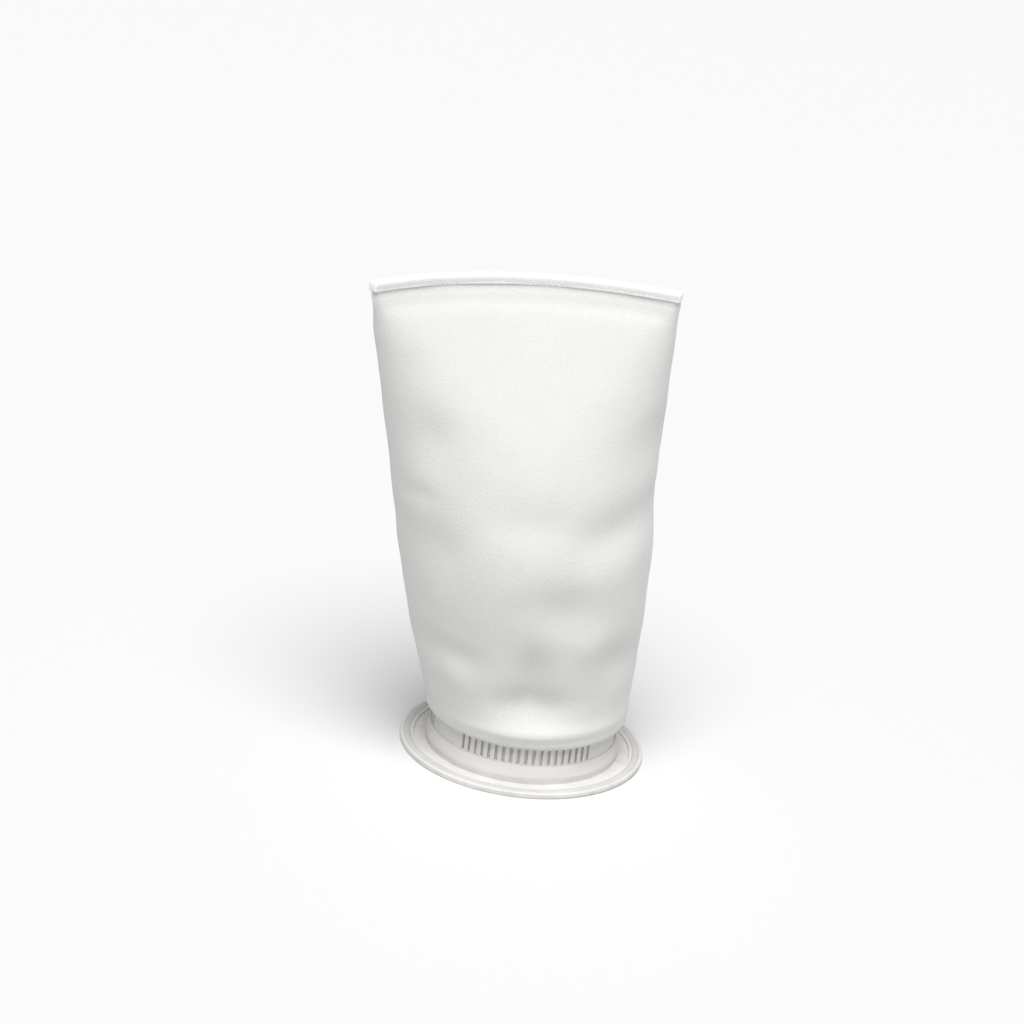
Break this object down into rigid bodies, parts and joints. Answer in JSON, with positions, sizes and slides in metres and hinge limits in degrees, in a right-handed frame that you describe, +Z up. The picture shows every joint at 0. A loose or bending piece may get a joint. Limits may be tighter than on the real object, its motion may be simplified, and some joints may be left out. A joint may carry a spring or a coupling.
{
  "type": "dust collector filter bag",
  "caption": "Needle-felt dust filter bag with a flat, bound end, held on a white flanged and slotted collar by a push-in retainer ring.",
  "frame": {"origin": "centre of the collar's mouth face, on the collar's axis, where the collar rests on a surface", "axes": "+Z up the bag to its bound end, X along the flat end seam, -Y towards the side without the lengthwise seam"},
  "size_m": [0.2914, 0.22, 0.44],
  "materials": {
    "white_plastic": "satin moulded polypropylene",
    "retainer_plastic": "satin moulded polypropylene",
    "seal_rubber": "matte white thermoplastic elastomer",
    "felt": "matte needle-punched felt",
    "cord": "twisted polyester cord",
    "tape": "matte woven tape",
    "thread": "polyester thread"
  },
  "bodies": {
    "collar": {"flange_collar": "white_plastic", "flange_seal": "seal_rubber", "filter_sleeve": "felt", "mouth_cuff": "felt", "mouth_cord": "cord", "cuff_stitches": "thread", "side_seam_tape": "tape", "side_seam_stitches": "thread", "end_binding": "tape", "end_stitches": "thread"},
    "retainer": {"retainer_ring": "retainer_plastic"}
  },
  "joints": [
    {"name": "retainer_pull", "type": "slide", "parent": "collar", "child": "retainer", "axis": [0, 0, -1], "range_m": [0, 0.045]}
  ]
}
